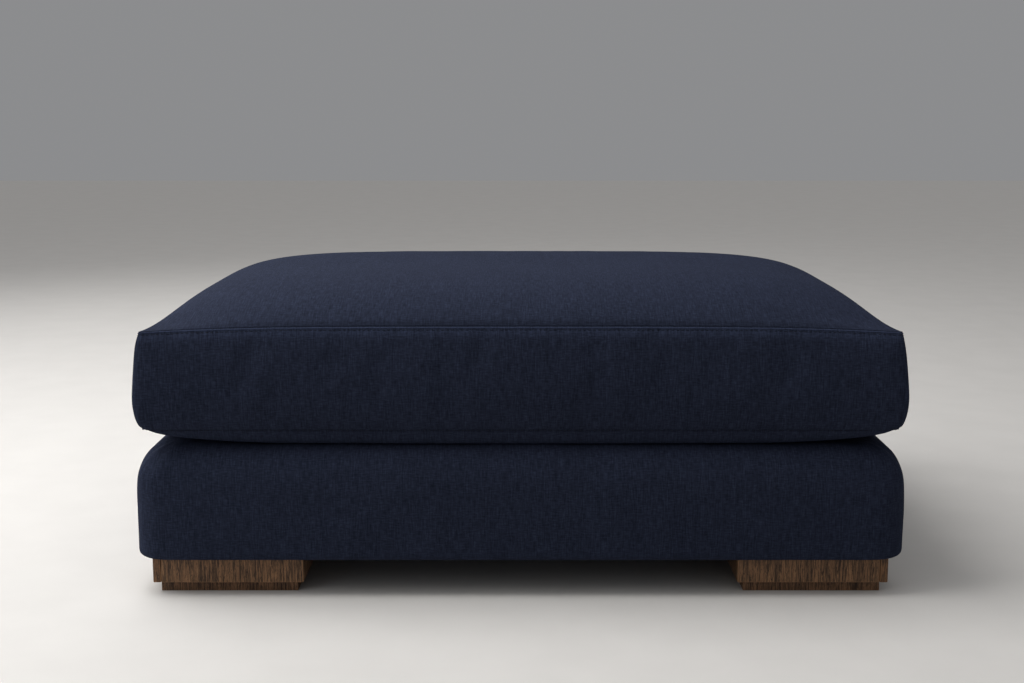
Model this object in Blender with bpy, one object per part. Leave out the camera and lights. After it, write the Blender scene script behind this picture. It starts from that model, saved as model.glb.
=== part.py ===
"""Footstool: a thick boxed cushion on an upholstered base, with four stepped wooden block feet.

Units are metres and +Z is up. The origin is on the floor under the middle of the footstool, +X runs
along its width and its front faces -Y.
"""

import math

import bmesh
import bpy

OBJECT_NAME = "footstool"

# Gap that pieces which touch keep between them
GAP = 0.0003

# Feet: a block on a smaller plinth
FOOT_WIDTH = 0.2275
FOOT_DEPTH = 0.2275
FOOT_INSET = 0.0237
PLINTH_HEIGHT = 0.0157
BLOCK_HEIGHT = 0.0398
PLINTH_INSET = 0.0100
BLOCK_EDGE = 0.0015
PLINTH_EDGE = 0.0008

# Base: an upholstered box with soft upper edges and a tight lower one
BASE_HALF_WIDTH = 0.5792
BASE_HALF_DEPTH = 0.404
BASE_HEIGHT = 0.1716
BASE_CORNER_RADIUS = 0.045
SHOULDER_INSET = 0.041
SHOULDER_DROP = 0.054
HEM_RADIUS = 0.010
BASE_BOW = 0.004

# Cushion: the seams that join its top and bottom panels to the boxing strip
SEAM_HALF_WIDTH = 0.560
SEAM_HALF_DEPTH = 0.390
TOP_SEAM_HEIGHT = 0.4085
BOXING_HEIGHT = 0.1548
SEAM_DRAW_IN = 0.012
CORNER_DROOP = 0.007
CORNER_LIFT = 0.0015
BOXING_CORNER_RADIUS = 0.024
TOP_CORNER_RADIUS = 0.002
LOW_CORNER_RADIUS = 0.010

# Crown of the top panel, and how square it is along the width and along the depth
CROWN_HEIGHT = 0.055
WIDTH_SQUARENESS = 8.0
WIDTH_ROUNDING = 0.64
DEPTH_SQUARENESS = 4.3
DEPTH_ROUNDING = 0.75
CORNER_FLATNESS = 3.5

# Underside: how deep it hangs under its seam, how fast it gets there, and how far its corners reach
BELLY_DEPTH = 0.0320
LIP_WIDTH = 0.024
CORNER_REACH = 0.080
CORNER_STEEPNESS = 0.7

# Boxing strip: share of the way down from the top seam, and how far the strip stands out there
BOXING_BULGE = (
    (0.00, 0.0000),
    (0.05, 0.0042),
    (0.13, 0.0075),
    (0.25, 0.0104),
    (0.40, 0.0131),
    (0.58, 0.0149),
    (0.76, 0.0151),
    (0.88, 0.0124),
    (0.95, 0.0080),
    (1.00, 0.0018),
)

# The seams run nearly straight along the middle of each side and turn off near the corners
SEAM_BOW_POWER = 4
CORNER_LIFT_POWER = 3

# Ears: how far the corners of the top seam stand out, how short they are, and how far down they reach
EAR_LENGTH = 0.003
EAR_POWER = 24
EAR_SHARE = 0.25

# Distances from an edge at which the soft forms have grid lines, and cells between those lines
EDGE_LINES = (0.0, 0.006, 0.015, 0.030, 0.052, 0.082)
SHOULDER_LINES = (0.0, 0.002, 0.007, 0.015, 0.026, 0.039, 0.054)
HEM_LINES = (0.0, 0.0013, 0.0044, 0.010)
CUSHION_MIDDLE_CELLS = (18, 12)
BASE_MIDDLE_CELLS = (4, 4)
SHARP_EDGE_ANGLE = math.radians(40.0)

CLOTH = {"name": "navy_cloth", "colour": (0.0160, 0.0200, 0.0370), "roughness": 0.92, "metallic": 0.0}
BLOCK_WOOD = {"name": "brown_wood", "colour": (0.0900, 0.0500, 0.0290), "roughness": 0.55, "metallic": 0.0}
PLINTH_WOOD = {"name": "dark_wood", "colour": (0.0600, 0.0340, 0.0210), "roughness": 0.60, "metallic": 0.0}

# Heights that follow from the sizes above
BLOCK_BOTTOM = PLINTH_HEIGHT + GAP
BASE_BOTTOM = BLOCK_BOTTOM + BLOCK_HEIGHT + GAP
BASE_TOP = BASE_BOTTOM + BASE_HEIGHT
CUSHION_BOTTOM = BASE_TOP + GAP


def clear_scene():
    """Remove every object that the scene starts with."""
    for obj in list(bpy.data.objects):
        bpy.data.objects.remove(obj, do_unlink=True)


def make_material(look):
    """A Principled material from a look's colour, roughness and metallic value."""
    material = bpy.data.materials.new(look["name"])
    material.use_nodes = True
    shader = material.node_tree.nodes["Principled BSDF"]
    shader.inputs["Base Color"].default_value = (*look["colour"], 1.0)
    shader.inputs["Roughness"].default_value = look["roughness"]
    shader.inputs["Metallic"].default_value = look["metallic"]
    material.diffuse_color = (*look["colour"], 1.0)
    return material


def add_object(name, bm, material, collection, parent, location=(0.0, 0.0, 0.0)):
    """Turn a bmesh into an object of the footstool."""
    mesh = bpy.data.meshes.new(name)
    bm.to_mesh(mesh)
    bm.free()
    mesh.materials.append(material)
    mesh.shade_smooth()
    mesh.set_sharp_from_angle(angle=SHARP_EDGE_ANGLE)
    obj = bpy.data.objects.new(name, mesh)
    obj.location = location
    obj.parent = parent
    collection.objects.link(obj)
    return obj


def edge_lines(half, middle_cells):
    """Grid lines from -half to half: close together near the edges and even in the middle."""
    low = [distance - half for distance in EDGE_LINES]
    inner = -low[-1]
    middle = [inner * (2.0 * step / middle_cells - 1.0) for step in range(1, middle_cells)]
    return low + middle + [-line for line in reversed(low)]


def gridded_form(lines, form):
    """A closed box whose faces are cut along the given lines, each point then moved by form(x, y, z)."""
    bm = bmesh.new()
    bmesh.ops.create_cube(bm, size=2.0)
    for axis in range(3):
        across = [other for other in range(3) if other != axis]
        along = []
        for edge in bm.edges:
            run = edge.verts[1].co - edge.verts[0].co
            if all(abs(run[other]) < 1e-6 for other in across):
                along.append(edge)
        bmesh.ops.subdivide_edges(bm, edges=along, cuts=len(lines[axis]) - 2, use_grid_fill=True)
    for vert in bm.verts:
        place = []
        for axis in range(3):
            cells = len(lines[axis]) - 1
            place.append(lines[axis][round((vert.co[axis] + 1.0) / 2.0 * cells)])
        vert.co = form(*place)
    return bm


def round_corner(x, y, half_x, half_y, radius):
    """Pull a point near the corner of a rectangle onto the same rectangle with round corners."""
    core_x = max(radius - half_x, min(half_x - radius, x))
    core_y = max(radius - half_y, min(half_y - radius, y))
    away_x = x - core_x
    away_y = y - core_y
    if away_x == 0.0 or away_y == 0.0:
        return x, y
    pull = max(abs(away_x), abs(away_y)) / math.hypot(away_x, away_y)
    return core_x + away_x * pull, core_y + away_y * pull


def table_value(table, share):
    """Read a value between the rows of a (share, value) table."""
    for (low, low_value), (high, high_value) in zip(table, table[1:]):
        if share <= high:
            return low_value + (high_value - low_value) * (share - low) / (high - low)
    return table[-1][1]


def quarter_round(share):
    """Rise of a quarter circle: 0 at share 0, where it is steep, and 1 from share 1 on."""
    return math.sqrt(1.0 - (1.0 - min(1.0, max(0.0, share))) ** 2)


def crown(a, b):
    """Height of the filled top panel: 0 at its seams and 1 in the middle."""
    along_width = (1.0 - abs(a) ** WIDTH_SQUARENESS) ** WIDTH_ROUNDING
    along_depth = (1.0 - abs(b) ** DEPTH_SQUARENESS) ** DEPTH_ROUNDING
    return along_width * along_depth * (1.0 - abs(a * b) ** CORNER_FLATNESS)


def belly(x, y):
    """How far the underside hangs at a point: 0 at its seam, 1 once past its soft lip and its corners."""
    from_side = SEAM_HALF_WIDTH - abs(x)
    from_front = SEAM_HALF_DEPTH - abs(y)
    lip = quarter_round(from_side / LIP_WIDTH) * quarter_round(from_front / LIP_WIDTH)
    from_corner = math.hypot(from_side, from_front)
    return lip * (1.0 - math.exp(-((from_corner / CORNER_REACH) ** CORNER_STEEPNESS)))


def draw_in(share, ear):
    """How far a seam lies inside its corners, at a share of its half length, and beside a corner's ear."""
    bow = share**SEAM_BOW_POWER
    return SEAM_DRAW_IN * (1.0 - bow) + ear * (bow - share**EAR_POWER)


def cushion_form(x, y, down):
    """Move a point of a plain box onto the cushion. down is 0 at the top seam and 1 at the bottom one."""
    a = x / SEAM_HALF_WIDTH
    b = y / SEAM_HALF_DEPTH
    ear = EAR_LENGTH * max(0.0, 1.0 - down / EAR_SHARE)
    half_x = SEAM_HALF_WIDTH - draw_in(b, ear)
    half_y = SEAM_HALF_DEPTH - draw_in(a, ear)
    top_seam = TOP_SEAM_HEIGHT - CORNER_DROOP * a**SEAM_BOW_POWER
    bottom_seam = TOP_SEAM_HEIGHT - BOXING_HEIGHT + CORNER_LIFT * abs(a * b) ** CORNER_LIFT_POWER
    height = top_seam + (bottom_seam - top_seam) * down
    if abs(a) == 1.0 or abs(b) == 1.0:
        bulge = table_value(BOXING_BULGE, down)
        half_x += bulge
        half_y += bulge
    elif down == 0.0:
        height += CROWN_HEIGHT * crown(a, b)
    else:
        height = max(CUSHION_BOTTOM, height - BELLY_DEPTH * belly(x, y))
    softness = math.sqrt(math.sin(math.pi * down)) if 0.0 < down < 1.0 else 0.0
    radius = TOP_CORNER_RADIUS + (LOW_CORNER_RADIUS - TOP_CORNER_RADIUS) * down
    radius += (BOXING_CORNER_RADIUS - radius) * softness
    return (*round_corner(a * half_x, b * half_y, half_x, half_y, radius), height)


def make_cushion(material, collection, parent):
    """The filled cushion: a crowned top panel, a boxing strip that stands out and a soft underside."""
    lines = (
        edge_lines(SEAM_HALF_WIDTH, CUSHION_MIDDLE_CELLS[0]),
        edge_lines(SEAM_HALF_DEPTH, CUSHION_MIDDLE_CELLS[1]),
        [share for share, _ in reversed(BOXING_BULGE)],
    )
    return add_object("cushion", gridded_form(lines, cushion_form), material, collection, parent)


def base_form(x, y, z):
    """Move a point of a plain box onto the upholstered base. z runs from 0 to the base's height."""
    shoulder = SHOULDER_INSET * (1.0 - quarter_round((BASE_HEIGHT - z) / SHOULDER_DROP))
    hem = HEM_RADIUS * (1.0 - quarter_round(z / HEM_RADIUS))
    inset = shoulder + hem + BASE_BOW * (z / BASE_HEIGHT) ** 2
    half_x = BASE_HALF_WIDTH - inset
    half_y = BASE_HALF_DEPTH - inset
    x *= half_x / BASE_HALF_WIDTH
    y *= half_y / BASE_HALF_DEPTH
    x, y = round_corner(x, y, half_x, half_y, BASE_CORNER_RADIUS)
    return x, y, BASE_BOTTOM + z


def make_base(material, collection, parent):
    """The base: a box whose vertical corners and upper edges are soft and whose lower edge is tight."""
    heights = sorted([*HEM_LINES, BASE_HEIGHT / 3.0, *(BASE_HEIGHT - drop for drop in SHOULDER_LINES)])
    lines = (
        edge_lines(BASE_HALF_WIDTH, BASE_MIDDLE_CELLS[0]),
        edge_lines(BASE_HALF_DEPTH, BASE_MIDDLE_CELLS[1]),
        heights,
    )
    return add_object("base", gridded_form(lines, base_form), material, collection, parent)


def make_board(name, size, edge, material, collection, parent, location):
    """A square-cut wooden piece with its edges just broken."""
    bm = bmesh.new()
    bmesh.ops.create_cube(bm, size=1.0)
    bmesh.ops.scale(bm, vec=size, verts=bm.verts)
    bmesh.ops.bevel(bm, geom=bm.edges, offset=edge, segments=2, profile=0.5, affect="EDGES")
    return add_object(name, bm, material, collection, parent, location)


def make_feet(block_material, plinth_material, collection, parent):
    """Four blocks under the base's corners, each on its own plinth."""
    block_size = (FOOT_WIDTH, FOOT_DEPTH, BLOCK_HEIGHT)
    plinth_size = (FOOT_WIDTH - 2.0 * PLINTH_INSET, FOOT_DEPTH - 2.0 * PLINTH_INSET, PLINTH_HEIGHT)
    block_middle = BLOCK_BOTTOM + BLOCK_HEIGHT / 2.0
    plinth_middle = PLINTH_HEIGHT / 2.0
    for end_name, end in (("front", -1.0), ("back", 1.0)):
        for side_name, side in (("left", -1.0), ("right", 1.0)):
            place = f"{end_name}_{side_name}"
            x = side * (BASE_HALF_WIDTH - FOOT_INSET - FOOT_WIDTH / 2.0)
            y = end * (BASE_HALF_DEPTH - FOOT_INSET - FOOT_DEPTH / 2.0)
            make_board(
                f"foot_plinth_{place}",
                plinth_size,
                PLINTH_EDGE,
                plinth_material,
                collection,
                parent,
                (x, y, plinth_middle),
            )
            make_board(
                f"foot_block_{place}",
                block_size,
                BLOCK_EDGE,
                block_material,
                collection,
                parent,
                (x, y, block_middle),
            )


def main():
    clear_scene()
    collection = bpy.data.collections.new(OBJECT_NAME)
    bpy.context.scene.collection.children.link(collection)
    root = bpy.data.objects.new(OBJECT_NAME + "_origin", None)
    collection.objects.link(root)
    cloth = make_material(CLOTH)
    make_cushion(cloth, collection, root)
    make_base(cloth, collection, root)
    make_feet(make_material(BLOCK_WOOD), make_material(PLINTH_WOOD), collection, root)


main()
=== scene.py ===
"""Dressed model of a wide upholstered footstool: a boxed cushion, a soft-edged base and stepped block feet.

Everything is in metres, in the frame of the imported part: the origin is on the floor under the middle, +X
runs along the width and the front faces -Y.
"""

import math

import bpy
import numpy as np
from bpy.props import FloatProperty, FloatVectorProperty, IntProperty, PointerProperty
from bpy.types import Operator, Panel, PropertyGroup
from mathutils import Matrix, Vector, noise
from mathutils.bvhtree import BVHTree


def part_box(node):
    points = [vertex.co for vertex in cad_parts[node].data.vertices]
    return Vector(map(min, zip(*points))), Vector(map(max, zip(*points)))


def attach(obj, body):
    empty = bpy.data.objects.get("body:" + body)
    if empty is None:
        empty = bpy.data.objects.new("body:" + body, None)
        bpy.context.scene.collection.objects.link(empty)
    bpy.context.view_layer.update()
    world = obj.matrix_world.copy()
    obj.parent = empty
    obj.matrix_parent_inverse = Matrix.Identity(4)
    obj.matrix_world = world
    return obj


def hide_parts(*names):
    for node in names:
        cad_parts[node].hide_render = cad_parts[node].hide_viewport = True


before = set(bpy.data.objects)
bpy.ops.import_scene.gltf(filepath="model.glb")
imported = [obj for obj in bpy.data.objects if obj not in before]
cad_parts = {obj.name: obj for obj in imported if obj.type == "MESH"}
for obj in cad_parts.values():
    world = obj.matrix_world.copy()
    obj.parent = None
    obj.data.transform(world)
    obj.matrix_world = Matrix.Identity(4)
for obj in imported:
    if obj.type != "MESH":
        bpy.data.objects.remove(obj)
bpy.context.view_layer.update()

bl_info = {
    "name": "Boxed cushion footstool",
    "version": (1, 0, 0),
    "blender": (4, 5, 0),
    "location": "View3D > Sidebar > Footstool",
    "description": "Builds a wide upholstered footstool with a boxed cushion and stepped block feet",
    "category": "Object",
}

BODY = "root"
CLOTH_MAP = "cloth"
# Attribute of painted shade and painted highlights along the cushion's seams, read by the cloth's colour
SEAM_PAINTED_SHADING = "seam_painted_shading"
FROM_TOP_SEAM = "from_top_seam"
FROM_LOW_SEAM = "from_low_seam"
EDGE_WEAR = "edge_wear"

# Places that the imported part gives
BASE_LOW, BASE_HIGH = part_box("base")
BASE_HEIGHT = BASE_HIGH[2] - BASE_LOW[2]
BASE_HALF_WIDTH = BASE_HIGH[0]
BASE_HALF_DEPTH = BASE_HIGH[1]
CUSHION_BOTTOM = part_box("cushion")[0][2]
FOOT_PLACES = ("front_left", "front_right", "back_left", "back_right")

# Cushion: plan of its two seams, and how they draw in, droop and lift
SEAM_HALF_WIDTH = 0.560
SEAM_HALF_DEPTH = 0.390
TOP_SEAM_HEIGHT = 0.4085
SEAM_DRAW_IN = 0.012
SEAM_BOW_POWER = 4
EAR_LENGTH = 0.003
EAR_POWER = 24
EAR_SHARE = 0.25
CORNER_DROOP = 0.007
CORNER_LIFT = 0.0015
CORNER_LIFT_POWER = 3
BOXING_CORNER_RADIUS = 0.024
TOP_CORNER_RADIUS = 0.002
LOW_CORNER_RADIUS = 0.010

# Crown of the top panel, and how square it is along the width and along the depth
WIDTH_SQUARENESS = 8.0
WIDTH_ROUNDING = 0.64
DEPTH_SQUARENESS = 4.3
DEPTH_ROUNDING = 0.75
CORNER_FLATNESS = 3.5

# Underside of the cushion
BELLY_DEPTH = 0.0320
LIP_WIDTH = 0.024
CORNER_REACH = 0.080
CORNER_STEEPNESS = 0.7

# Boxing strip: share of the way down from the top seam, and how far the strip stands out there
BOXING_BULGE = (
    (0.00, 0.0000),
    (0.05, 0.0042),
    (0.13, 0.0075),
    (0.25, 0.0104),
    (0.40, 0.0131),
    (0.58, 0.0149),
    (0.76, 0.0151),
    (0.88, 0.0124),
    (0.95, 0.0080),
    (1.00, 0.0018),
)

# Base: corners in plan, upper edge and lower edge
BASE_CORNER_RADIUS = 0.045
SHOULDER_INSET = 0.041
SHOULDER_DROP = 0.054
HEM_RADIUS = 0.010
BASE_BOW = 0.004

# Distances from an edge at which the covers have grid lines, and the spacing of the lines between
CUSHION_EDGE_LINES = (0.0, 0.0005, 0.0012, 0.0022, 0.004, 0.007, 0.011, 0.017, 0.025, 0.036, 0.049)
CUSHION_SPACING = 0.0145
TOP_SEAM_LINES = (0.0, 0.0013, 0.0027, 0.0041, 0.006, 0.009, 0.013, 0.019, 0.027)
LOW_SEAM_LINES = (0.0, 0.0012, 0.0026, 0.0045, 0.008, 0.013, 0.020)
BOXING_SPACING = 0.011
BASE_EDGE_LINES = (0.0, 0.002, 0.005, 0.009, 0.014, 0.020, 0.027, 0.035, 0.045, 0.057, 0.071)
BASE_SPACING = 0.026
SHOULDER_LINES = (0.0, 0.0015, 0.004, 0.008, 0.013, 0.019, 0.026, 0.034, 0.043, 0.054)
HEM_LINES = (0.0, 0.0012, 0.0032, 0.0062, 0.010)
BASE_SIDE_SPACING = 0.013

# Settling of a cover round its filling
SETTLE_FRAMES = 20
SETTLE_SHRINK = -0.02
SMOOTHING_ROUNDS = 60

# Rows of stitches: distance below each seam, and how deep they and the bottom seam sink into the cover
TOP_ROW_DROP = 0.0056
LOW_ROW_DROP = 0.0029
SEWN_DEPTH = 0.0003
LOW_GROOVE_DEPTH = 0.0006

# Parts of the covers that stay in place while they settle
HELD_BESIDE_TOP_SEAM = 0.0014
HELD_BESIDE_LOW_SEAM = 0.0013
HELD_UNDERSIDE = 0.060
HELD_HEM = 0.007
UNDER_CUSHION = (0.50, 0.33)

# Camera: the photo's viewing angle
LENS = 50.0
SENSOR_WIDTH = 36.0
CAMERA_PLACE = (0.0, -2.4442, 0.7245)
CAMERA_PITCH = math.radians(9.325)
CAMERA_SHIFT = -0.0083

# Soft boxes: name, place, size and power in watts. Most of the light comes from the upper left.
SOFT_BOX_TARGET = (0.0, 0.0, 0.25)
SOFT_BOXES = (
    ("upper_left_box", (-1.2, -0.2, 2.6), 2.0, 62.0),
    ("low_left_box", (-3.0, -0.2, 1.3), 2.0, 37.0),
    ("front_left_box", (-2.2, -2.4, 2.0), 2.0, 10.0),
    ("back_left_box", (-1.6, 2.4, 2.4), 2.2, 26.0),
)


def linear(hex_colour):
    """A linear RGB colour from an sRGB hex value."""
    channels = []
    for start in (1, 3, 5):
        value = int(hex_colour[start : start + 2], 16) / 255.0
        channels.append(value / 12.92 if value <= 0.04045 else ((value + 0.055) / 1.055) ** 2.4)
    return tuple(channels)


def colour_property(name, description, hex_colour):
    """A colour that a user can change, given as an sRGB hex value."""
    return FloatVectorProperty(
        name=name,
        description=description,
        subtype="COLOR",
        size=3,
        min=0.0,
        max=1.0,
        default=linear(hex_colour),
    )


def length_property(name, description, default):
    """A size in metres that a user can change."""
    return FloatProperty(
        name=name, description=description, default=default, min=0.0, unit="LENGTH", precision=4
    )


def strength_property(name, description, default):
    """A strength that a user can change."""
    return FloatProperty(name=name, description=description, default=default, min=0.0)


class CushionSettings(PropertyGroup):
    """Sizes of the boxed cushion."""

    crown_height: length_property("Crown height", "Rise of the top panel's middle above its seam", 0.055)
    boxing_height: length_property("Boxing height", "Height of the strip between its two seams", 0.1548)
    groove_depth: length_property("Seam groove", "Depth of the groove along the top seam", 0.0004)
    ridge_height: length_property("Seam ridge", "Height of the folded edge below the top seam", 0.0010)
    unevenness: length_property("Unevenness", "Most that the filling moves the cover", 0.0030)
    pressure: strength_property("Filling pressure", "Pressure on the cover while it settles", 4.0)


class BaseSettings(PropertyGroup):
    """Sizes of the upholstered base."""

    unevenness: length_property("Unevenness", "Most that the padding moves the cover", 0.0014)
    gather_depth: length_property("Corner gathers", "Depth of the gathers over each upper corner", 0.0011)
    gathers: IntProperty(name="Gathers", description="Gathers at each upper corner", default=4, min=0)
    pressure: strength_property("Padding pressure", "Pressure on the cover while it settles", 3.0)


class ClothSettings(PropertyGroup):
    """Yarn and colours of the upholstery cloth."""

    # The deep and light colours also show the painted shade and painted highlights along the cushion's seams
    deep: colour_property("Deep navy", "Colour of the yarn where it is thin and sunk", "#171b27")
    middle: colour_property("Navy", "Colour of most of the yarn", "#222736")
    light: colour_property("Light navy", "Colour of thick slubs and rubbed yarn", "#30374b")
    pitch: length_property("Thread spacing", "Distance between neighbouring threads", 0.0016)
    slub_width: length_property("Slub width", "Width of a thick place in the yarn", 0.0021)
    slub_length: length_property("Slub length", "Length of a thick place in the upright yarn", 0.018)


class StitchSettings(PropertyGroup):
    """Rows of stitches along the cushion's seams."""

    pitch: length_property("Pitch", "Distance from one stitch to the next", 0.0072)
    length: length_property("Stitch length", "Length of thread that shows in each stitch", 0.0050)
    thickness: length_property("Thread thickness", "Diameter of the thread", 0.0010)
    thread: colour_property("Thread", "Colour of the sewing thread", "#12151f")


class FeetSettings(PropertyGroup):
    """Edges and stains of the block feet."""

    block_edge: length_property("Block edge", "Radius of the blocks' edges", 0.0015)
    plinth_edge: length_property("Plinth edge", "Radius of the plinths' edges", 0.0010)
    facing: length_property("Facing board", "Thickness of the board on each block's outer side", 0.0120)
    joint: length_property("Joint", "Width of the fine joint beside the facing board", 0.0004)
    block_dark: colour_property("Block dark grain", "Colour of the blocks' dark grain", "#38271a")
    block_light: colour_property("Block light grain", "Colour of the blocks' light grain", "#8a6647")
    facing_tint: colour_property("Facing tint", "Tint of the facing boards", "#efe9e3")
    plinth_dark: colour_property("Plinth dark grain", "Colour of the plinths' dark grain", "#332216")
    plinth_light: colour_property("Plinth light grain", "Colour of the plinths' light grain", "#836044")


class StageSettings(PropertyGroup):
    """Floor and studio light."""

    floor_size: length_property("Floor size", "Side of the square floor", 24.0)
    floor_colour: colour_property("Floor", "Colour of the floor", "#cfccc8")
    room_colour: colour_property("Room", "Colour of the light from all round", "#fbfcff")
    room_light: strength_property("Room light", "Strength of the light from all round", 0.27)
    sky_light: strength_property("Overhead light", "Strength of the broad light overhead", 0.54)
    soft_boxes: strength_property("Soft boxes", "Strength of the four soft boxes", 1.0)


def add_node(tree, kind, inputs=None, stops=None, **settings):
    """Add a node with its settings. inputs gives a value, or a socket to link, by socket name or number."""
    node = tree.nodes.new(kind)
    for name, value in settings.items():
        setattr(node, name, value)
    for key, value in (inputs or {}).items():
        if isinstance(value, bpy.types.NodeSocket):
            tree.links.new(value, node.inputs[key])
        else:
            node.inputs[key].default_value = value
    if stops:
        elements = node.color_ramp.elements
        while len(elements) < len(stops):
            elements.new(1.0)
        for element, (place, colour) in zip(elements, stops):
            element.position = place
            element.color = (*colour, 1.0)
    return node


def calculate(tree, operation, *values):
    """The result of a math node. Each value is a number or a socket to link."""
    return add_node(tree, "ShaderNodeMath", dict(enumerate(values)), operation=operation).outputs[0]


def stretched_noise(tree, place, scale, dimensions, **inputs):
    """Noise at a place that is scaled along each axis. inputs are the noise's own, by name."""
    mapped = add_node(tree, "ShaderNodeMapping", {"Vector": place, "Scale": scale})
    inputs = {"Vector": mapped.outputs[0], "Scale": 1.0, **inputs}
    return add_node(tree, "ShaderNodeTexNoise", inputs, noise_dimensions=dimensions).outputs["Fac"]


def new_material(name, colour):
    """An empty node material and its tree. colour is what a plain view shows."""
    material = bpy.data.materials.new(name)
    material.use_nodes = True
    material.diffuse_color = (*colour, 1.0)
    material.node_tree.nodes.clear()
    return material, material.node_tree


def finish_material(tree, shader_inputs):
    """Add the surface shader and the output to a material's tree."""
    shader = add_node(tree, "ShaderNodeBsdfPrincipled", shader_inputs)
    add_node(tree, "ShaderNodeOutputMaterial", {"Surface": shader.outputs["BSDF"]})


def linen_weave_upholstery(cloth):
    """Heavy linen-look upholstery cloth, woven plain from uneven yarn and dyed navy.

    The eye sees fine upright slubs, shorter level ones, a slight mottle, and a soft bloom of loose fibre
    where the cloth turns away from it.
    """
    material, tree = new_material("linen_weave_upholstery", cloth.middle)
    place = add_node(tree, "ShaderNodeUVMap", uv_map=CLOTH_MAP).outputs["UV"]

    # Real threads of such cloth are 0.8 to 1 mm apart. They are drawn 1.6 mm apart so that they show.
    per_thread = 1.0 / cloth.pitch
    threads = add_node(tree, "ShaderNodeMapping", {"Vector": place, "Scale": (per_thread, per_thread, 1.0)})
    across = add_node(tree, "ShaderNodeSeparateXYZ", {0: threads.outputs[0]})
    rounds = []
    for axis in ("X", "Y"):
        rounds.append(calculate(tree, "PINGPONG", across.outputs[axis], 0.5))
    crossings = []
    for over, under in (rounds, reversed(rounds)):
        crossings.append(calculate(tree, "MULTIPLY", over, calculate(tree, "ADD", under, 0.5)))
    checker = add_node(tree, "ShaderNodeTexChecker", {"Vector": threads.outputs[0], "Scale": 1.0})
    mixed = {0: checker.outputs["Fac"], 2: crossings[0], 3: crossings[1]}
    weave = add_node(tree, "ShaderNodeMix", mixed).outputs[0]

    # Thick places in the yarn: long upright ones and shorter level ones
    slubs = []
    for scale in (
        (1.0 / cloth.slub_width, 1.0 / cloth.slub_length, 1.0),
        (1.7 / cloth.slub_length, 1.0 / cloth.slub_width, 1.0),
    ):
        slubs.append(stretched_noise(tree, place, scale, "2D", Detail=2.0, Roughness=0.6))

    # Bands of yarn from different cones, 9 mm wide, and a mottle of 70 mm from handling
    bands = stretched_noise(tree, place, (1.0 / 0.009, 1.0 / 0.16, 1.0), "2D", Detail=1.0)
    solid = add_node(tree, "ShaderNodeTexCoord").outputs["Object"]
    mottle = add_node(tree, "ShaderNodeTexNoise", {"Vector": solid, "Scale": 1.0 / 0.070, "Detail": 2.0})

    tone = calculate(tree, "MULTIPLY_ADD", slubs[0], 0.54, -0.27)
    for part, share in ((slubs[1], 0.48), (bands, 0.10), (mottle.outputs["Fac"], 0.10), (weave, 0.15)):
        tone = calculate(tree, "MULTIPLY_ADD", part, share, tone)
        tone = calculate(tree, "SUBTRACT", tone, share * 0.5)
    # Painted light and shade along the cushion's seams: painted shade in the tuck above the top seam, its
    # groove, the row of stitches and the bottom seam, and painted highlights on the folded edge and the roll
    # of the strip
    seam = add_node(tree, "ShaderNodeAttribute", attribute_name=SEAM_PAINTED_SHADING).outputs["Fac"]
    toned = calculate(tree, "MULTIPLY_ADD", seam, 0.40, tone)
    colour = add_node(
        tree,
        "ShaderNodeValToRGB",
        {0: calculate(tree, "ADD", toned, 0.5)},
        stops=((0.25, cloth.deep), (0.50, cloth.middle), (0.78, cloth.light)),
    )

    relief = calculate(tree, "MULTIPLY_ADD", slubs[0], 0.8, weave)
    relief = calculate(tree, "MULTIPLY_ADD", slubs[1], 0.6, relief)
    bump = add_node(tree, "ShaderNodeBump", {"Strength": 0.55, "Distance": 0.0005, "Height": relief})
    roughness = add_node(
        tree,
        "ShaderNodeMapRange",
        {"Value": weave, "From Min": 0.0, "From Max": 0.5, "To Min": 0.97, "To Max": 0.86},
    )
    finish_material(
        tree,
        {
            "Base Color": colour.outputs[0],
            "Roughness": roughness.outputs[0],
            "IOR": 1.45,
            "Specular IOR Level": 0.06,
            "Sheen Weight": 0.04,
            "Sheen Roughness": 0.45,
            "Sheen Tint": (*linear("#6f80c0"), 1.0),
            "Normal": bump.outputs[0],
        },
    )
    return material


def bonded_polyester_thread(stitch):
    """Twisted upholstery thread, dyed to match: darker than the cloth, with a faint gloss on its twist."""
    material, tree = new_material("bonded_polyester_thread", stitch.thread)
    solid = add_node(tree, "ShaderNodeTexCoord").outputs["Object"]
    # The twist of the plies is about 0.8 mm
    twist = add_node(
        tree,
        "ShaderNodeTexWave",
        {"Vector": solid, "Scale": 0.314 / 0.0008, "Distortion": 1.0},
        bands_direction="DIAGONAL",
    ).outputs["Fac"]
    lighter = tuple(channel * 1.5 for channel in stitch.thread)
    colour = add_node(tree, "ShaderNodeValToRGB", {0: twist}, stops=((0.2, stitch.thread), (0.9, lighter)))
    bump = add_node(tree, "ShaderNodeBump", {"Strength": 0.4, "Distance": 0.0001, "Height": twist})
    finish_material(
        tree,
        {
            "Base Color": colour.outputs[0],
            "Roughness": 0.70,
            "IOR": 1.50,
            "Specular IOR Level": 0.12,
            "Normal": bump.outputs[0],
        },
    )
    return material


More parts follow.
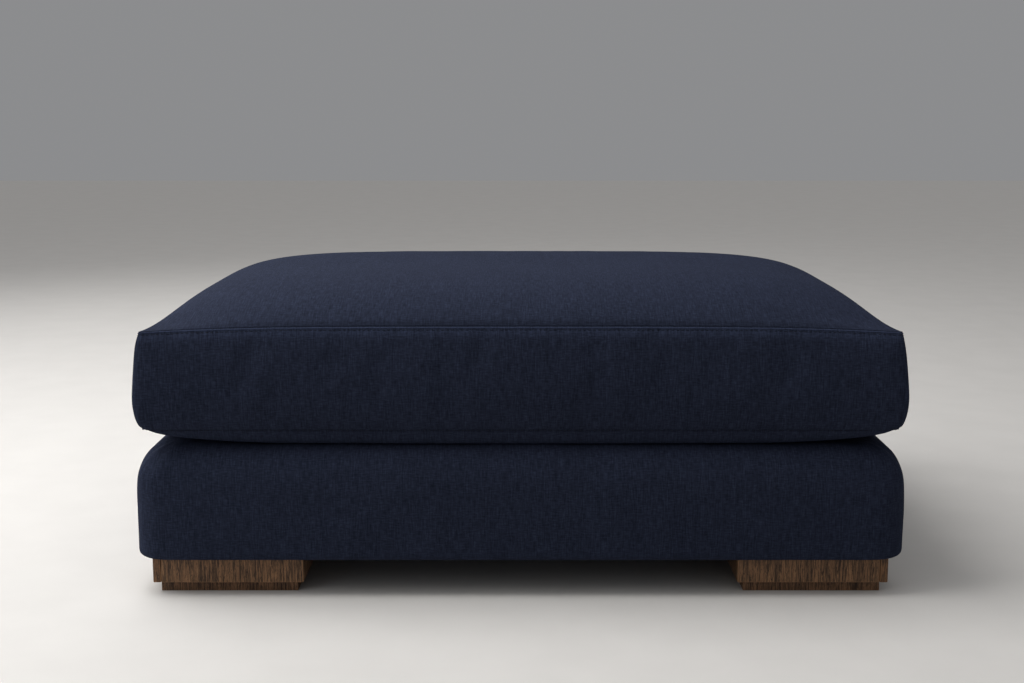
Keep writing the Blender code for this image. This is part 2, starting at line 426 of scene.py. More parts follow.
def stained_oak(name, dark, light, tint):
    """Straight-grained oak with a brown stain and a thin satin oil.

    The eye sees fine upright streaks from the grain, darker open pores where the stain gathers, slow
    changes of tone across a board, and slightly paler rubbed edges.
    """
    material, tree = new_material(name, light)
    solid = add_node(tree, "ShaderNodeTexCoord").outputs["Object"]

    # Growth lines are about 2 mm wide, broad bands of tone 22 mm, and the pores 1 mm wide and 7 mm long
    grains = []
    for width, length, detail in ((0.0023, 0.034, 5.0), (0.022, 0.35, 2.0), (0.0012, 0.007, 2.0)):
        scale = (1.0 / width, 1.0 / width, 1.0 / length)
        grains.append(stretched_noise(tree, solid, scale, "3D", Detail=detail, Roughness=0.7, Distortion=0.9))
    growth, bands, pores = grains
    tone = calculate(tree, "ADD", growth, calculate(tree, "MULTIPLY_ADD", bands, 0.22, -0.11))
    grain_colour = add_node(tree, "ShaderNodeValToRGB", {0: tone}, stops=((0.40, dark), (0.60, light)))
    open_pores = add_node(
        tree,
        "ShaderNodeMapRange",
        {"Value": pores, "From Min": 0.30, "From Max": 0.46, "To Min": 1.0, "To Max": 0.0},
    ).outputs[0]
    pored = add_node(
        tree,
        "ShaderNodeMix",
        {0: open_pores, 6: grain_colour.outputs[0], 7: (*(channel * 0.75 for channel in dark), 1.0)},
        data_type="RGBA",
    )
    tinted = add_node(
        tree,
        "ShaderNodeMix",
        {0: 1.0, 6: pored.outputs[2], 7: (*tint, 1.0)},
        data_type="RGBA",
        blend_type="MULTIPLY",
    )
    wear = add_node(tree, "ShaderNodeAttribute", attribute_name=EDGE_WEAR).outputs["Fac"]
    rubbed = calculate(tree, "MULTIPLY", wear, 0.35)
    colour = add_node(
        tree,
        "ShaderNodeMix",
        {0: rubbed, 6: tinted.outputs[2], 7: (*(channel * 1.3 for channel in light), 1.0)},
        data_type="RGBA",
    )
    relief = calculate(tree, "MULTIPLY_ADD", open_pores, -0.8, growth)
    bump = add_node(tree, "ShaderNodeBump", {"Strength": 0.35, "Distance": 0.0004, "Height": relief})
    roughness = add_node(
        tree,
        "ShaderNodeMapRange",
        {"Value": growth, "From Min": 0.3, "From Max": 0.7, "To Min": 0.62, "To Max": 0.48},
    )
    finish_material(
        tree,
        {
            "Base Color": colour.outputs[2],
            "Roughness": roughness.outputs[0],
            "IOR": 1.50,
            "Specular IOR Level": 0.30,
            "Normal": bump.outputs[0],
        },
    )
    return material


def painted_floor(stage):
    """Matt painted studio floor: pale and even, with a barely visible mottle from the roller."""
    material, tree = new_material("painted_floor", stage.floor_colour)
    solid = add_node(tree, "ShaderNodeTexCoord").outputs["Object"]
    mottle = add_node(tree, "ShaderNodeTexNoise", {"Vector": solid, "Scale": 1.0 / 0.12, "Detail": 4.0})
    darker = tuple(channel * 0.97 for channel in stage.floor_colour)
    stops = ((0.35, darker), (0.65, stage.floor_colour))
    colour = add_node(tree, "ShaderNodeValToRGB", {0: mottle.outputs["Fac"]}, stops=stops)
    finish_material(tree, {"Base Color": colour.outputs[0], "Roughness": 0.85, "Specular IOR Level": 0.2})
    return material


def spaced_lines(low_edge, high_edge, low_lines, high_lines, spacing):
    """Grid lines from low_edge to high_edge: the given distances from each end, and even steps between."""
    start = low_edge + low_lines[-1]
    stop = high_edge - high_lines[-1]
    cells = max(1, round((stop - start) / spacing))
    first = [low_edge + line for line in low_lines]
    middle = [start + (stop - start) * step / cells for step in range(1, cells)]
    last = [high_edge - line for line in reversed(high_lines)]
    return first + middle + last


def length_along(grid, axis):
    """Distance along the surface from the first grid line, for each point of a grid of points."""
    steps = np.linalg.norm(np.diff(grid, axis=axis), axis=-1)
    start = np.zeros_like(np.take(steps, [0], axis=axis))
    return np.concatenate([start, np.cumsum(steps, axis=axis)], axis=axis)


def cut_and_sewn(name, lines, form):
    """A closed cover on a grid of lines along x, y and z, each point placed by form(x, y, z).

    Its UV map gives the place on the cloth in metres, with the upright yarn along v. Two attributes give
    each point's distance along the cover from the edge of the top panel and from the edge of the bottom
    panel, negative on the panels themselves.
    """
    shape = tuple(len(line) for line in lines)
    shell = np.zeros(shape, bool)
    for axis in range(3):
        ends = [slice(None)] * 3
        ends[axis] = [0, -1]
        shell[tuple(ends)] = True
    number = np.full(shape, -1)
    number[shell] = np.arange(shell.sum())
    places = [[lines[axis][place[axis]] for axis in range(3)] for place in np.argwhere(shell)]
    points = np.array([form(*place) for place in places])
    faces = []
    uvs = []
    from_top = np.full(len(points), 0.5)
    from_low = np.full(len(points), 0.5)
    for axis, (u_axis, v_axis) in ((0, (1, 2)), (1, (0, 2)), (2, (0, 1))):
        for end in (0, -1):
            panel = np.take(number, end, axis=axis)
            grid = points[panel]
            u = length_along(grid, 0)
            v = length_along(grid, 1)
            if axis == 2:
                edge = np.minimum.reduce([u, u[-1:] - u, v, v[:, -1:] - v])
                (from_low if end == 0 else from_top)[panel] = -edge
            else:
                from_top[panel] = v[:, -1:] - v
                from_low[panel] = v
            u = u - u[len(u) // 2]
            v = v - v[:, v.shape[1] // 2][:, None]
            corners = [(slice(0, -1), slice(0, -1)), (slice(1, None), slice(0, -1))]
            corners += [(slice(1, None), slice(1, None)), (slice(0, -1), slice(1, None))]
            if (axis == 1) == (end == -1):
                corners.reverse()
            faces.append(np.stack([panel[corner] for corner in corners], axis=-1).reshape(-1, 4))
            placed = [np.stack([u[corner], v[corner]], axis=-1) for corner in corners]
            uvs.append(np.stack(placed, axis=2).reshape(-1, 2))
    mesh = bpy.data.meshes.new(name)
    mesh.from_pydata(points.tolist(), [], np.concatenate(faces).tolist())
    mesh.uv_layers.new(name=CLOTH_MAP).data.foreach_set("uv", np.concatenate(uvs).ravel())
    for attribute, values in ((FROM_TOP_SEAM, from_top), (FROM_LOW_SEAM, from_low)):
        mesh.attributes.new(attribute, "FLOAT", "POINT").data.foreach_set("value", values)
    mesh.shade_smooth()
    return mesh


def read_points(mesh):
    """The mesh's points as an array."""
    values = np.empty(len(mesh.vertices) * 3)
    mesh.vertices.foreach_get("co", values)
    return values.reshape(-1, 3)


def read_normals(mesh):
    """The mesh's normals at its points as an array."""
    values = np.empty(len(mesh.vertices) * 3, np.float32)
    mesh.vertex_normals.foreach_get("vector", values)
    return values.reshape(-1, 3).astype(float)


def read_values(mesh, attribute):
    """One of the mesh's attributes as an array."""
    values = np.empty(len(mesh.vertices), np.float32)
    mesh.attributes[attribute].data.foreach_get("value", values)
    return values.astype(float)


def write_points(mesh, points):
    """Move the mesh's points to the given places."""
    mesh.vertices.foreach_set("co", points.ravel())
    mesh.update()


def read_edges(mesh):
    """The mesh's edges as an array of point numbers."""
    values = np.empty(len(mesh.edges) * 2, np.int32)
    mesh.edges.foreach_get("vertices", values)
    return values.reshape(-1, 2)


def averaged(values, edges, rounds):
    """Each point's value averaged with its neighbours', again and again."""
    count = np.bincount(edges.ravel(), minlength=len(values))[:, None]
    for _ in range(rounds):
        total = np.zeros_like(values)
        np.add.at(total, edges[:, 0], values[edges[:, 1]])
        np.add.at(total, edges[:, 1], values[edges[:, 0]])
        values = 0.5 * values + 0.5 * total / count
    return values


def link_object(name, mesh):
    """A new object in the scene, at the origin."""
    obj = bpy.data.objects.new(name, mesh)
    bpy.context.scene.collection.objects.link(obj)
    return obj


def evaluated_mesh(obj):
    """A plain mesh of the object with its modifiers."""
    graph = bpy.context.evaluated_depsgraph_get()
    return bpy.data.meshes.new_from_object(
        obj.evaluated_get(graph),
        preserve_all_data_layers=True,
        depsgraph=graph,
    )


def settle(obj, held, pressure, most):
    """Let the cover settle round its filling in a cloth simulation, and keep the unevenness that this gives.

    The simulation swells the whole cover. The slow part of that is already in the measured form, so it is
    taken out, and what is left moves no point further than its value in most.
    """
    start = read_points(obj.data)
    group = obj.vertex_groups.new(name="held")
    group.add([int(point) for point in np.flatnonzero(held)], 1.0, "REPLACE")
    modifier = obj.modifiers.new("Filling", "CLOTH")
    cloth = modifier.settings
    cloth.quality = 5
    cloth.mass = 0.3
    cloth.tension_stiffness = 15.0
    cloth.compression_stiffness = 6.0
    cloth.shear_stiffness = 5.0
    cloth.bending_stiffness = 0.6
    cloth.shrink_min = SETTLE_SHRINK
    cloth.use_pressure = True
    cloth.uniform_pressure_force = pressure
    cloth.vertex_group_mass = group.name
    cloth.effector_weights.gravity = 0.0
    modifier.point_cache.frame_start = 1
    modifier.point_cache.frame_end = SETTLE_FRAMES
    scene = bpy.context.scene
    for step in range(1, SETTLE_FRAMES + 1):
        scene.frame_set(step)
    settled = evaluated_mesh(obj)
    moved = read_points(settled) - start
    bpy.data.meshes.remove(settled)
    obj.modifiers.remove(modifier)
    obj.vertex_groups.remove(group)
    scene.frame_set(1)
    uneven = moved - averaged(moved, read_edges(obj.data), SMOOTHING_ROUNDS)
    size = np.linalg.norm(uneven, axis=1, keepdims=True)
    limit = np.maximum(most, 1e-6)[:, None]
    uneven *= limit * np.tanh(size / limit) / np.maximum(size, 1e-9)
    uneven[held] = 0.0
    write_points(obj.data, start + uneven)


def subdivide_once(obj):
    """Add one subdivision to the mesh."""
    modifier = obj.modifiers.new("Smooth", "SUBSURF")
    modifier.levels = 1
    modifier.render_levels = 1
    plain = obj.data
    obj.data = evaluated_mesh(obj)
    obj.modifiers.remove(modifier)
    bpy.data.meshes.remove(plain)
    obj.data.shade_smooth()


def soft_noise(points, size, seed):
    """Smooth noise between about -1 and 1, whose waves are as long as size."""
    shift = Vector((seed * 7.3, seed * 3.1, seed * 5.7))
    return np.array([noise.noise(Vector(point) / size + shift) for point in points])


def round_corner(x, y, half_x, half_y, radius):
    """Pull a point near the corner of a rectangle onto the same rectangle with round corners."""
    core_x = max(radius - half_x, min(half_x - radius, x))
    core_y = max(radius - half_y, min(half_y - radius, y))
    away_x = x - core_x
    away_y = y - core_y
    if away_x == 0.0 or away_y == 0.0:
        return x, y
    pull = max(abs(away_x), abs(away_y)) / math.hypot(away_x, away_y)
    return core_x + away_x * pull, core_y + away_y * pull


def quarter_round(share):
    """Rise of a quarter circle: 0 at share 0, where it is steep, and 1 from share 1 on."""
    return math.sqrt(1.0 - (1.0 - min(1.0, max(0.0, share))) ** 2)


def boxing_bulge(down):
    """How far the boxing strip stands out, along a smooth curve through its table."""
    shares, values = np.array(BOXING_BULGE).T
    slopes = np.gradient(values, shares)
    row = min(max(int(np.searchsorted(shares, down)) - 1, 0), len(shares) - 2)
    step = shares[row + 1] - shares[row]
    t = (down - shares[row]) / step
    from_low = (1.0 + 2.0 * t) * (1.0 - t) ** 2 * values[row] + t * (1.0 - t) ** 2 * step * slopes[row]
    from_high = t**2 * (3.0 - 2.0 * t) * values[row + 1] + t**2 * (t - 1.0) * step * slopes[row + 1]
    return float(from_low + from_high)


def crown(a, b):
    """Height of the filled top panel: 0 at its seams and 1 in the middle."""
    along_width = (1.0 - abs(a) ** WIDTH_SQUARENESS) ** WIDTH_ROUNDING
    along_depth = (1.0 - abs(b) ** DEPTH_SQUARENESS) ** DEPTH_ROUNDING
    return along_width * along_depth * (1.0 - abs(a * b) ** CORNER_FLATNESS)


def belly(x, y):
    """How far the underside hangs at a point: 0 at its seam, 1 once past its soft lip and its corners."""
    from_side = SEAM_HALF_WIDTH - abs(x)
    from_front = SEAM_HALF_DEPTH - abs(y)
    lip = quarter_round(from_side / LIP_WIDTH) * quarter_round(from_front / LIP_WIDTH)
    from_corner = math.hypot(from_side, from_front)
    return lip * (1.0 - math.exp(-((from_corner / CORNER_REACH) ** CORNER_STEEPNESS)))


def draw_in(share, ear):
    """How far a seam lies inside its corners, at a share of its half length, and beside a corner's ear."""
    bow = share**SEAM_BOW_POWER
    return SEAM_DRAW_IN * (1.0 - bow) + ear * (bow - share**EAR_POWER)


def cushion_form(cushion, x, y, z):
    """Where a point of a plain box lies on the cushion. z runs from 0 to the boxing strip's height."""
    down = 1.0 - z / cushion.boxing_height
    a = x / SEAM_HALF_WIDTH
    b = y / SEAM_HALF_DEPTH
    ear = EAR_LENGTH * max(0.0, 1.0 - down / EAR_SHARE)
    half_x = SEAM_HALF_WIDTH - draw_in(b, ear)
    half_y = SEAM_HALF_DEPTH - draw_in(a, ear)
    top_seam = TOP_SEAM_HEIGHT - CORNER_DROOP * a**SEAM_BOW_POWER
    low_seam = TOP_SEAM_HEIGHT - cushion.boxing_height + CORNER_LIFT * abs(a * b) ** CORNER_LIFT_POWER
    height = top_seam + (low_seam - top_seam) * down
    if abs(a) == 1.0 or abs(b) == 1.0:
        bulge = boxing_bulge(down)
        half_x += bulge
        half_y += bulge
    elif z > 0.0:
        height += cushion.crown_height * crown(a, b)
    else:
        height = max(CUSHION_BOTTOM, height - BELLY_DEPTH * belly(x, y))
    softness = math.sqrt(math.sin(math.pi * down)) if 0.0 < down < 1.0 else 0.0
    radius = TOP_CORNER_RADIUS + (LOW_CORNER_RADIUS - TOP_CORNER_RADIUS) * down
    radius += (BOXING_CORNER_RADIUS - radius) * softness
    return (*round_corner(a * half_x, b * half_y, half_x, half_y, radius), height)


def cushion_lines(cushion):
    """Grid lines of the cushion's cover along x, y and z, close together near its seams."""
    lines = []
    for half in (SEAM_HALF_WIDTH, SEAM_HALF_DEPTH):
        lines.append(spaced_lines(-half, half, CUSHION_EDGE_LINES, CUSHION_EDGE_LINES, CUSHION_SPACING))
    lines.append(spaced_lines(0.0, cushion.boxing_height, LOW_SEAM_LINES, TOP_SEAM_LINES, BOXING_SPACING))
    return lines


def crease_seams(mesh):
    """Keep the seams sharp when the mesh is subdivided."""
    distances = [np.abs(read_values(mesh, attribute)) for attribute in (FROM_TOP_SEAM, FROM_LOW_SEAM)]
    on_seam = np.minimum(*distances) < 1e-6
    creases = on_seam[read_edges(mesh)].all(axis=1).astype(np.float32)
    mesh.attributes.new("crease_edge", "FLOAT", "EDGE").data.foreach_set("value", creases)


def press_seams(mesh, cushion):
    """Sink the seams into the cover, raise the folded edge below the top seam, and paint shade and highlights
    along both seams for the cloth.
    """
    from_top = read_values(mesh, FROM_TOP_SEAM)
    from_low = read_values(mesh, FROM_LOW_SEAM)
    # Distance from a seam, place and half width of a soft band there, its tone and its relief: the tuck of
    # the top panel, the groove, the folded edge, the row of stitches, the roll of the strip, the bottom seam.
    # The tone is painted light: painted shade in the tuck, the groove, the row of stitches and the bottom
    # seam, and painted highlights on the folded edge and on the roll of the strip.
    bands = (
        (from_top, -0.0050, 0.0040, -0.20, 0.0),
        (from_top, 0.0006, 0.0010, -0.45, -cushion.groove_depth),
        (from_top, 0.0030, 0.0010, 0.80, cushion.ridge_height),
        (from_top, TOP_ROW_DROP, 0.0012, -0.10, -SEWN_DEPTH),
        (from_top, 0.0095, 0.0080, 0.42, 0.0),
        (from_low, -LOW_ROW_DROP, 0.0012, -0.35, -LOW_GROOVE_DEPTH),
    )
    tone = np.zeros(len(mesh.vertices))
    relief = np.zeros(len(mesh.vertices))
    for distance, place, half_width, band_painted_shading, band_relief in bands:
        band = np.exp(-(((distance - place) / half_width) ** 2))
        tone += band_painted_shading * band
        relief += band_relief * band
    write_points(mesh, read_points(mesh) + read_normals(mesh) * relief[:, None])
    mesh.attributes.new(SEAM_PAINTED_SHADING, "FLOAT", "POINT").data.foreach_set("value", tone)


def base_form(x, y, z):
    """Where a point of a plain box lies on the base. z runs from 0 to the base's height."""
    shoulder = SHOULDER_INSET * (1.0 - quarter_round((BASE_HEIGHT - z) / SHOULDER_DROP))
    hem = HEM_RADIUS * (1.0 - quarter_round(z / HEM_RADIUS))
    inset = shoulder + hem + BASE_BOW * (z / BASE_HEIGHT) ** 2
    half_x = BASE_HALF_WIDTH - inset
    half_y = BASE_HALF_DEPTH - inset
    x *= half_x / BASE_HALF_WIDTH
    y *= half_y / BASE_HALF_DEPTH
    return (*round_corner(x, y, half_x, half_y, BASE_CORNER_RADIUS), BASE_LOW[2] + z)


def gather_corners(mesh, base):
    """Press small gathers, which fan out from each upper corner, into the base's cover."""
    points = read_points(mesh)
    away_x = np.abs(points[:, 0]) - (BASE_HALF_WIDTH - 0.085)
    away_y = np.abs(points[:, 1]) - (BASE_HALF_DEPTH - 0.085)
    angle = np.arctan2(np.maximum(away_y, 0.0), np.maximum(away_x, 0.0)) / (math.pi / 2.0)
    reach = np.hypot(away_x, away_y)
    drop = BASE_HIGH[2] - points[:, 2]
    window = np.sin(math.pi * angle) ** 1.5
    window *= np.clip((reach - 0.030) / 0.030, 0.0, 1.0) * np.exp(-((drop / 0.050) ** 2))
    window[(away_x <= 0.0) | (away_y <= 0.0)] = 0.0
    wave = np.cos(2.0 * math.pi * base.gathers * angle + 14.0 * drop)
    depth = base.gather_depth * window * (wave - 0.6)
    write_points(mesh, points + read_normals(mesh) * depth[:, None])


def rim_path(cushion, z):
    """Points round the cushion's boxing strip at one height above its bottom seam."""
    across, along, _ = cushion_lines(cushion)
    front = [(x, -SEAM_HALF_DEPTH) for x in across[:-1]]
    right = [(SEAM_HALF_WIDTH, y) for y in along[:-1]]
    back = [(-x, SEAM_HALF_DEPTH) for x in across[:-1]]
    left = [(-SEAM_HALF_WIDTH, -y) for y in along[:-1]]
    return [Vector(cushion_form(cushion, x, y, z)) for x, y in front + right + back + left]


def closed_paths(name, paths):
    """A mesh of closed lines through the given points."""
    points = []
    edges = []
    for path in paths:
        first = len(points)
        points.extend(path)
        edges.extend((first + step, first + (step + 1) % len(path)) for step in range(len(path)))
    mesh = bpy.data.meshes.new(name)
    mesh.from_pydata(points, edges, [])
    return mesh


def stitch_tree():
    """Geometry nodes that lay stitches end to end along lines, each a short round of thread."""
    tree = bpy.data.node_groups.new("seam_stitches", "GeometryNodeTree")
    tree.interface.new_socket("Lines", in_out="INPUT", socket_type="NodeSocketGeometry")
    for name in ("Pitch", "Stitch length", "Thread thickness"):
        tree.interface.new_socket(name, in_out="INPUT", socket_type="NodeSocketFloat")
    tree.interface.new_socket("Thread", in_out="INPUT", socket_type="NodeSocketMaterial")
    tree.interface.new_socket("Stitches", in_out="OUTPUT", socket_type="NodeSocketGeometry")
    given = add_node(tree, "NodeGroupInput").outputs
    curve = add_node(tree, "GeometryNodeMeshToCurve", {"Mesh": given["Lines"]})
    resampled = add_node(
        tree,
        "GeometryNodeResampleCurve",
        {"Curve": curve.outputs["Curve"], "Length": given["Pitch"]},
        mode="LENGTH",
    )
    turned = add_node(
        tree,
        "FunctionNodeAlignRotationToVector",
        {"Vector": add_node(tree, "GeometryNodeInputTangent").outputs["Tangent"]},
        axis="Z",
    )
    uneven = add_node(
        tree,
        "FunctionNodeRandomValue",
        {"Min": (-0.07, -0.07, 0.0), "Max": (0.07, 0.07, 0.0), "Seed": 7},
        data_type="FLOAT_VECTOR",
    )
    tilt = add_node(tree, "FunctionNodeEulerToRotation", {"Euler": uneven.outputs["Value"]})
    rotation = add_node(
        tree,
        "FunctionNodeRotateRotation",
        {"Rotation": turned.outputs["Rotation"], "Rotate By": tilt.outputs["Rotation"]},
        rotation_space="LOCAL",
    )
    radius = calculate(tree, "MULTIPLY", given["Thread thickness"], 0.5)
    half_length = calculate(tree, "MULTIPLY", given["Stitch length"], 0.5)
    scale = add_node(tree, "ShaderNodeCombineXYZ", {"X": radius, "Y": radius, "Z": half_length})
    stitch = add_node(tree, "GeometryNodeMeshUVSphere", {"Segments": 8, "Rings": 5, "Radius": 1.0})
    placed = add_node(
        tree,
        "GeometryNodeInstanceOnPoints",
        {
            "Points": resampled.outputs["Curve"],
            "Instance": stitch.outputs["Mesh"],
            "Rotation": rotation.outputs["Rotation"],
            "Scale": scale.outputs[0],
        },
    )
    real = add_node(tree, "GeometryNodeRealizeInstances", {"Geometry": placed.outputs["Instances"]})
    smooth = add_node(tree, "GeometryNodeSetShadeSmooth", {"Geometry": real.outputs["Geometry"]})
    coloured = add_node(
        tree,
        "GeometryNodeSetMaterial",
        {"Geometry": smooth.outputs["Geometry"], "Material": given["Thread"]},
    )
    add_node(tree, "NodeGroupOutput", {"Stitches": coloured.outputs["Geometry"]})
    return tree


def run_nodes(obj, tree, values):
    """The plain mesh that a tree makes of an object. values are by the names of the tree's inputs."""
    modifier = obj.modifiers.new("Nodes", "NODES")
    modifier.node_group = tree
    for socket in tree.interface.items_tree:
        if socket.in_out == "INPUT" and socket.name in values:
            modifier[socket.identifier] = values[socket.name]
    mesh = evaluated_mesh(obj)
    obj.modifiers.remove(modifier)
    return mesh


def rounded_board(name, low, high, radius):
    """A board with rounded edges, and an attribute that is 1 along them and 0 on its faces."""
    low = Vector(low)
    high = Vector(high)
    near = (0.0, radius * 0.3, radius * 0.65, radius, radius * 1.6, radius * 3.0)
    lines = [spaced_lines(low[axis], high[axis], near, near, 0.030) for axis in range(3)]

    def rounded(x, y, z):
        place = Vector((x, y, z))
        core = Vector([min(high[axis] - radius, max(low[axis] + radius, place[axis])) for axis in range(3)])
        away = place - core
        furthest = max(abs(part) for part in away)
        return core + away * (furthest / away.length if away.length > 0.0 else 0.0)

    mesh = cut_and_sewn(name, lines, rounded)
    points = read_points(mesh)
    beside = np.sort(np.minimum(points - np.array(low), np.array(high) - points), axis=1)[:, 1]
    wear = np.clip(1.0 - beside / (radius * 1.5), 0.0, 1.0)
    mesh.attributes.new(EDGE_WEAR, "FLOAT", "POINT").data.foreach_set("value", wear)
    return mesh


def join_meshes(name, meshes):
    """One object of several meshes, each with its own material."""
    objects = [link_object(name, mesh) for mesh in meshes]
    with bpy.context.temp_override(active_object=objects[0], selected_editable_objects=objects):
        bpy.ops.object.join()
    return objects[0]


class FOOTSTOOL_OT_cushion(Operator):
    """Build the filled cushion with its crown, boxing strip and pressed seams"""

    bl_idname = "footstool.make_cushion"
    bl_label = "Cushion"

    def execute(self, context):
        cushion = context.scene.footstool_cushion
        lines = cushion_lines(cushion)
        mesh = cut_and_sewn("cushion_cover", lines, lambda *place: cushion_form(cushion, *place))
        obj = link_object("cushion_cover", mesh)
        crease_seams(mesh)
        from_top = read_values(mesh, FROM_TOP_SEAM)
        from_low = read_values(mesh, FROM_LOW_SEAM)
        held = (np.abs(from_top) < HELD_BESIDE_TOP_SEAM) | (np.abs(from_low) < HELD_BESIDE_LOW_SEAM)
        held |= from_low < -HELD_UNDERSIDE
        # The seams hold the cover still, and the top panel is stretched smooth by its filling
        fade = np.clip(np.minimum(np.abs(from_top), np.abs(from_low)) / 0.03, 0.0, 1.0)
        fade[from_low < 0.0] = 0.0
        fade[from_top < 0.0] *= 0.08
        settle(obj, held, cushion.pressure, cushion.unevenness * fade)
        points = read_points(mesh)
        waves = 0.0010 * soft_noise(points, 0.15, 1) + 0.0004 * soft_noise(points, 0.055, 2)
        points += read_normals(mesh) * (waves * fade)[:, None]
        write_points(mesh, points)
        subdivide_once(obj)
        press_seams(obj.data, cushion)
        points = read_points(obj.data)
        points[:, 2] = np.maximum(points[:, 2], CUSHION_BOTTOM)
        write_points(obj.data, points)
        obj.data.materials.append(linen_weave_upholstery(context.scene.footstool_cloth))
        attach(obj, BODY)
        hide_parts("cushion")
        return {"FINISHED"}


class FOOTSTOOL_OT_stitching(Operator):
    """Sew a row of stitches below the cushion's top seam and one along its bottom seam"""

    bl_idname = "footstool.make_stitching"
    bl_label = "Stitching"

    def execute(self, context):
        cushion = context.scene.footstool_cushion
        stitch = context.scene.footstool_stitches
        cover = bpy.data.objects["cushion_cover"]
        surface = BVHTree.FromPolygons(
            [vertex.co for vertex in cover.data.vertices],
            [tuple(face.vertices) for face in cover.data.polygons],
        )
        paths = []
        low_rim = 0.0008
        for z, drop in ((cushion.boxing_height - TOP_ROW_DROP, 0.0), (low_rim, low_rim + LOW_ROW_DROP)):
            path = []
            for point in rim_path(cushion, z):
                nearest, normal, _, _ = surface.find_nearest(point - Vector((0.0, 0.0, drop)))
                path.append(nearest + normal * stitch.thickness * 0.15)
            paths.append(path)
        carrier = link_object("stitch_lines", closed_paths("stitch_lines", paths))
        values = {
            "Pitch": stitch.pitch,
            "Stitch length": stitch.length,
            "Thread thickness": stitch.thickness,
            "Thread": bonded_polyester_thread(stitch),
        }
        obj = link_object("seam_stitches", run_nodes(carrier, stitch_tree(), values))
        bpy.data.objects.remove(carrier)
        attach(obj, BODY)
        return {"FINISHED"}


class FOOTSTOOL_OT_base(Operator):
    """Build the upholstered base with its soft upper edges and gathered corners"""

    bl_idname = "footstool.make_base"
    bl_label = "Base"

    def execute(self, context):
        base = context.scene.footstool_base
        lines = []
        for half in (BASE_HALF_WIDTH, BASE_HALF_DEPTH):
            lines.append(spaced_lines(-half, half, BASE_EDGE_LINES, BASE_EDGE_LINES, BASE_SPACING))
        lines.append(spaced_lines(0.0, BASE_HEIGHT, HEM_LINES, SHOULDER_LINES, BASE_SIDE_SPACING))
        mesh = cut_and_sewn("base_cover", lines, base_form)
        obj = link_object("base_cover", mesh)
        points = read_points(mesh)
        under_cushion = (np.abs(points[:, :2]) < UNDER_CUSHION).all(axis=1) & (points[:, 2] > 0.2)
        held = (points[:, 2] < BASE_LOW[2] + HELD_HEM) | under_cushion
        fade = np.clip((points[:, 2] - BASE_LOW[2]) / 0.04, 0.0, 1.0) * ~under_cushion
        settle(obj, held, base.pressure, base.unevenness * fade)
        points = read_points(mesh)
        waves = 0.0006 * soft_noise(points, 0.16, 3) + 0.0003 * soft_noise(points, 0.06, 4)
        write_points(mesh, points + read_normals(mesh) * (waves * fade)[:, None])
        subdivide_once(obj)
        gather_corners(obj.data, base)
        points = read_points(obj.data)
        points[:, 2] = np.clip(points[:, 2], BASE_LOW[2], BASE_HIGH[2])
        write_points(obj.data, points)
        obj.data.materials.append(bpy.data.materials["linen_weave_upholstery"])
        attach(obj, BODY)
        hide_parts("base")
        return {"FINISHED"}


class FOOTSTOOL_OT_feet(Operator):
    """Build the four block feet with their facing boards, and the plinths under them"""

    bl_idname = "footstool.make_feet"
    bl_label = "Feet"

    def execute(self, context):
        feet = context.scene.footstool_feet
        white = (1.0, 1.0, 1.0)
        block = stained_oak("stained_oak", feet.block_dark, feet.block_light, white)
        facing = stained_oak("stained_oak_facing", feet.block_dark, feet.block_light, feet.facing_tint)
        plinth = stained_oak("dark_stained_oak", feet.plinth_dark, feet.plinth_light, white)
        for place in FOOT_PLACES:
            low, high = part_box(f"foot_block_{place}")
            outer = -1.0 if place.endswith("left") else 1.0
            joint_low = high[0] - feet.facing if outer > 0.0 else low[0]
            joint_high = high[0] if outer > 0.0 else low[0] + feet.facing
            core_low = (low[0] if outer > 0.0 else joint_high + feet.joint, low[1], low[2])
            core_high = (joint_low - feet.joint if outer > 0.0 else high[0], high[1], high[2])
            core = rounded_board("block", core_low, core_high, feet.block_edge)
            core.materials.append(block)
            side = rounded_board(
                "facing",
                (joint_low, low[1], low[2]),
                (joint_high, high[1], high[2]),
                feet.block_edge,
            )
            side.materials.append(facing)
            obj = join_meshes(f"block_{place}", [core, side])
            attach(obj, BODY)
            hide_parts(f"foot_block_{place}")

            low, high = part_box(f"foot_plinth_{place}")
            mesh = rounded_board(f"plinth_{place}", low, high, feet.plinth_edge)
            mesh.materials.append(plinth)
            obj = link_object(f"plinth_{place}", mesh)
            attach(obj, BODY)
            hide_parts(f"foot_plinth_{place}")
        return {"FINISHED"}


def add_soft_box(name, place, size, power):
    """A square soft light that points at the middle of the footstool."""
    light = bpy.data.lights.new(name, "AREA")
    light.shape = "SQUARE"
    light.size = size
    light.energy = power
    obj = link_object(name, light)
    obj.location = place
    obj.rotation_euler = (Vector(SOFT_BOX_TARGET) - Vector(place)).to_track_quat("-Z", "Y").to_euler()


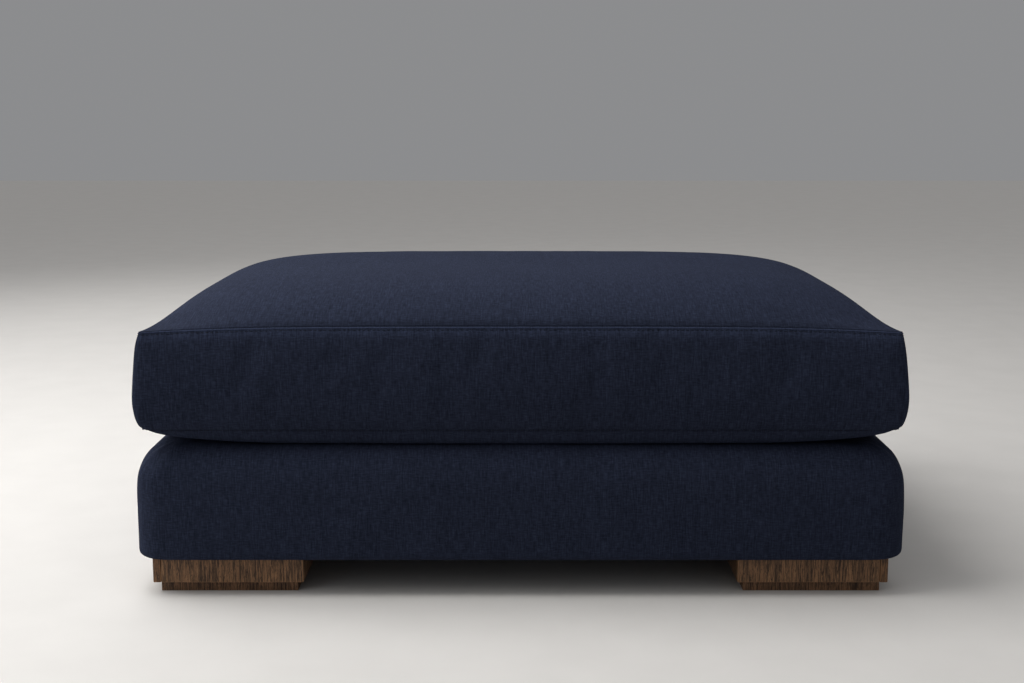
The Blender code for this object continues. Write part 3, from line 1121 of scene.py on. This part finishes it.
class FOOTSTOOL_OT_stage(Operator):
    """Lay the pale floor and set the studio light and the camera"""

    bl_idname = "footstool.make_stage"
    bl_label = "Stage"

    def execute(self, context):
        scene = context.scene
        stage = scene.footstool_stage
        half = stage.floor_size / 2.0
        mesh = bpy.data.meshes.new("floor")
        corners = [(-half, -half, 0.0), (half, -half, 0.0), (half, half, 0.0), (-half, half, 0.0)]
        mesh.from_pydata(corners, [], [(0, 1, 2, 3)])
        mesh.materials.append(painted_floor(stage))
        link_object("floor", mesh)

        world = bpy.data.worlds.new("room")
        world.use_nodes = True
        world.node_tree.nodes.clear()
        light = add_node(
            world.node_tree,
            "ShaderNodeBackground",
            {"Color": (*stage.room_colour, 1.0), "Strength": stage.room_light},
        )
        add_node(world.node_tree, "ShaderNodeOutputWorld", {"Surface": light.outputs[0]})
        scene.world = world
        sky = bpy.data.lights.new("overhead_light", "SUN")
        sky.energy = stage.sky_light
        sky.angle = math.radians(90.0)
        link_object("overhead_light", sky)
        for name, place, size, power in SOFT_BOXES:
            add_soft_box(name, place, size, power * stage.soft_boxes)
        scene.view_settings.view_transform = "Standard"

        camera = bpy.data.cameras.new("camera")
        camera.lens = LENS
        camera.sensor_width = SENSOR_WIDTH
        camera.shift_x = CAMERA_SHIFT
        obj = link_object("camera", camera)
        obj.location = CAMERA_PLACE
        obj.rotation_euler = (math.pi / 2.0 - CAMERA_PITCH, 0.0, 0.0)
        scene.camera = obj
        return {"FINISHED"}


class FOOTSTOOL_PT_panel(Panel):
    """Sizes, colours and building steps of the footstool."""

    bl_label = "Footstool"
    bl_idname = "FOOTSTOOL_PT_panel"
    bl_space_type = "VIEW_3D"
    bl_region_type = "UI"
    bl_category = "Footstool"

    def draw(self, context):
        for title, name, operator in STEPS:
            box = self.layout.box()
            box.label(text=title)
            settings = getattr(context.scene, name)
            for key in settings.__annotations__:
                box.prop(settings, key)
            if operator:
                box.operator(operator)


STEPS = (
    ("Cloth", "footstool_cloth", None),
    ("Cushion", "footstool_cushion", "footstool.make_cushion"),
    ("Stitching", "footstool_stitches", "footstool.make_stitching"),
    ("Base", "footstool_base", "footstool.make_base"),
    ("Feet", "footstool_feet", "footstool.make_feet"),
    ("Stage", "footstool_stage", "footstool.make_stage"),
)

SETTINGS = {
    "footstool_cloth": ClothSettings,
    "footstool_cushion": CushionSettings,
    "footstool_stitches": StitchSettings,
    "footstool_base": BaseSettings,
    "footstool_feet": FeetSettings,
    "footstool_stage": StageSettings,
}

CLASSES = (
    *SETTINGS.values(),
    FOOTSTOOL_OT_cushion,
    FOOTSTOOL_OT_stitching,
    FOOTSTOOL_OT_base,
    FOOTSTOOL_OT_feet,
    FOOTSTOOL_OT_stage,
    FOOTSTOOL_PT_panel,
)


def register():
    for item in CLASSES:
        bpy.utils.register_class(item)
    for name, group in SETTINGS.items():
        setattr(bpy.types.Scene, name, PointerProperty(type=group))


def unregister():
    for name in SETTINGS:
        delattr(bpy.types.Scene, name)
    for item in reversed(CLASSES):
        bpy.utils.unregister_class(item)


def main():
    register()
    bpy.ops.footstool.make_cushion()
    bpy.ops.footstool.make_stitching()
    bpy.ops.footstool.make_base()
    bpy.ops.footstool.make_feet()
    bpy.ops.footstool.make_stage()


if __name__ == "__main__":
    main()
